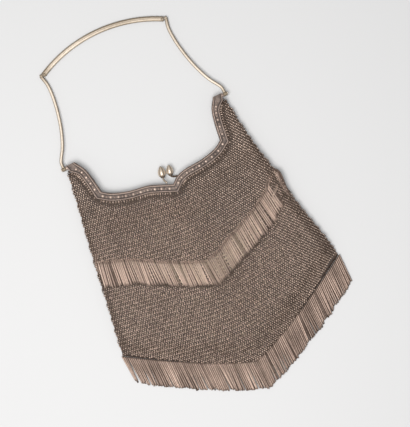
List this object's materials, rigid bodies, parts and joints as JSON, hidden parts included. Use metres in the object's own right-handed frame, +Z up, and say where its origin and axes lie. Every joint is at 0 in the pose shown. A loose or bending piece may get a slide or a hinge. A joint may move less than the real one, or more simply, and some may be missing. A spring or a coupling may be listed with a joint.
{
  "type": "metal mesh purse",
  "caption": "Flat purse of fine metal ring mesh with two tiers of metal fringe, a scalloped beaded frame with a bud clasp, and a stiff hinged handle.",
  "frame": {"origin": "on the table, under the middle of the whole purse as it lies on its back", "axes": "+X to the purse's right as seen from its front, +Y from the pouch to the handle, +Z up off the table, out of the front"},
  "size_m": [0.2016, 0.3334, 0.0133],
  "materials": {
    "frame": "tarnished silver, bright on the rims and beads, dark in the recess",
    "pins": "worn silver",
    "clasp": "worn silver with dark grooves",
    "handle": "satin silver, warm at its edges",
    "ring_mesh": "fine linked rings, tarnished in the links",
    "fringe": "fine chain strands, warm silver"
  },
  "bodies": {
    "purse": {"frame_front": "frame", "frame_back": "frame", "hinge_pin_left": "pins", "hinge_pin_right": "pins", "clasp_front": "clasp", "clasp_back": "clasp", "mesh_pouch": "ring_mesh", "fringe_middle_front": "fringe", "fringe_middle_back": "fringe", "fringe_bottom": "fringe"},
    "arm_left": {"handle_arm_left": "handle"},
    "arm_right": {"handle_arm_right": "handle"},
    "arc": {"handle_arc": "handle"}
  },
  "joints": [
    {"name": "handle_hinge", "type": "hinge", "parent": "purse", "child": "arm_left", "pos_m": [-0.07751, 0.07172, 0.0049], "axis": [1, 0, 0], "range_deg": [-158, 162]},
    {"name": "handle_hinge_right", "type": "hinge", "parent": "purse", "child": "arm_right", "pos_m": [0.07089, 0.07172, 0.0049], "axis": [1, 0, 0], "range_deg": [-158, 162]},
    {"name": "arc_pivot", "type": "hinge", "parent": "arm_left", "child": "arc", "pos_m": [-0.06081, 0.15052, 0.0019], "axis": [1, 0, 0], "range_deg": [-170, 170]}
  ],
  "couplings": [
    {"joint": "handle_hinge_right", "follows": "handle_hinge", "ratio": 1}
  ]
}
